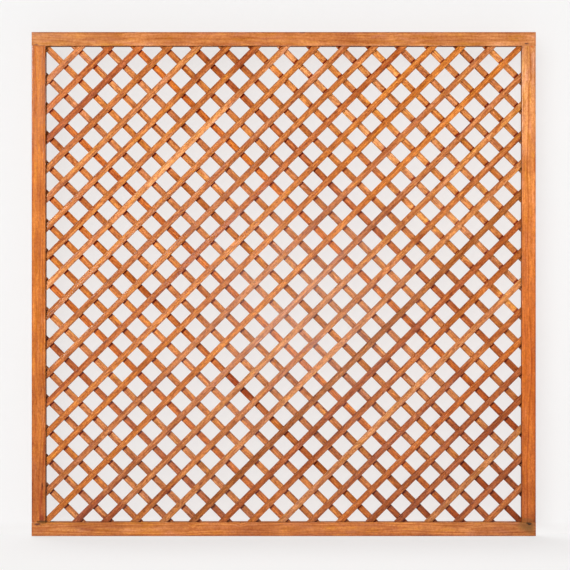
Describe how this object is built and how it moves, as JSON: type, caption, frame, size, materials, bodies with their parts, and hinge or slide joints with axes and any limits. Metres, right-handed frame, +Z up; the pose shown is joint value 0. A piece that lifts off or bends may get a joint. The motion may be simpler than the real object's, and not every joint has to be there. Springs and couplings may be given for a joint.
{
  "type": "framed lattice trellis",
  "caption": "Square garden trellis panel: a grooved softwood frame with halved, stapled corners holds a diagonal lattice of crossed thin slats for climbing plants.",
  "frame": {"origin": "underside of the bottom rail, in the middle of the panel's width and depth", "axes": "+Z up, +X to the right seen from the front, the front faces -Y"},
  "size_m": [1.8, 0.038, 1.8],
  "materials": {
    "rail_timber": "oiled softwood, planed",
    "stile_timber": "oiled softwood, planed",
    "front_slat_timber": "oiled softwood, fine sawn",
    "back_slat_timber": "oiled softwood, fine sawn",
    "staple_wire": "galvanised wire, dulled"
  },
  "bodies": {
    "root": {"back_slat_lower_01": "back_slat_timber", "back_slat_lower_02": "back_slat_timber", "back_slat_lower_03": "back_slat_timber", "back_slat_lower_04": "back_slat_timber", "back_slat_lower_05": "back_slat_timber", "back_slat_lower_06": "back_slat_timber", "back_slat_lower_07": "back_slat_timber", "back_slat_lower_08": "back_slat_timber", "back_slat_lower_09": "back_slat_timber", "back_slat_lower_10": "back_slat_timber", "back_slat_lower_11": "back_slat_timber", "back_slat_lower_12": "back_slat_timber", "back_slat_middle": "back_slat_timber", "back_slat_upper_01": "back_slat_timber", "back_slat_upper_02": "back_slat_timber", "back_slat_upper_03": "back_slat_timber", "back_slat_upper_04": "back_slat_timber", "back_slat_upper_05": "back_slat_timber", "back_slat_upper_06": "back_slat_timber", "back_slat_upper_07": "back_slat_timber", "back_slat_upper_08": "back_slat_timber", "back_slat_upper_09": "back_slat_timber", "back_slat_upper_10": "back_slat_timber", "back_slat_upper_11": "back_slat_timber", "back_slat_upper_12": "back_slat_timber", "back_slats_bottom_left": "back_slat_timber", "back_slats_top_right": "back_slat_timber", "bottom_rail": "rail_timber", "corner_staples": "staple_wire", "front_slat_lower_01": "front_slat_timber", "front_slat_lower_02": "front_slat_timber", "front_slat_lower_03": "front_slat_timber", "front_slat_lower_04": "front_slat_timber", "front_slat_lower_05": "front_slat_timber", "front_slat_lower_06": "front_slat_timber", "front_slat_lower_07": "front_slat_timber", "front_slat_lower_08": "front_slat_timber", "front_slat_lower_09": "front_slat_timber", "front_slat_lower_10": "front_slat_timber", "front_slat_lower_11": "front_slat_timber", "front_slat_lower_12": "front_slat_timber", "front_slat_middle": "front_slat_timber", "front_slat_upper_01": "front_slat_timber", "front_slat_upper_02": "front_slat_timber", "front_slat_upper_03": "front_slat_timber", "front_slat_upper_04": "front_slat_timber", "front_slat_upper_05": "front_slat_timber", "front_slat_upper_06": "front_slat_timber", "front_slat_upper_07": "front_slat_timber", "front_slat_upper_08": "front_slat_timber", "front_slat_upper_09": "front_slat_timber", "front_slat_upper_10": "front_slat_timber", "front_slat_upper_11": "front_slat_timber", "front_slat_upper_12": "front_slat_timber", "front_slats_bottom_right": "front_slat_timber", "front_slats_top_left": "front_slat_timber", "lattice_staples": "staple_wire", "left_stile": "stile_timber", "right_stile": "stile_timber", "top_rail": "rail_timber"}
  },
  "joints": []
}
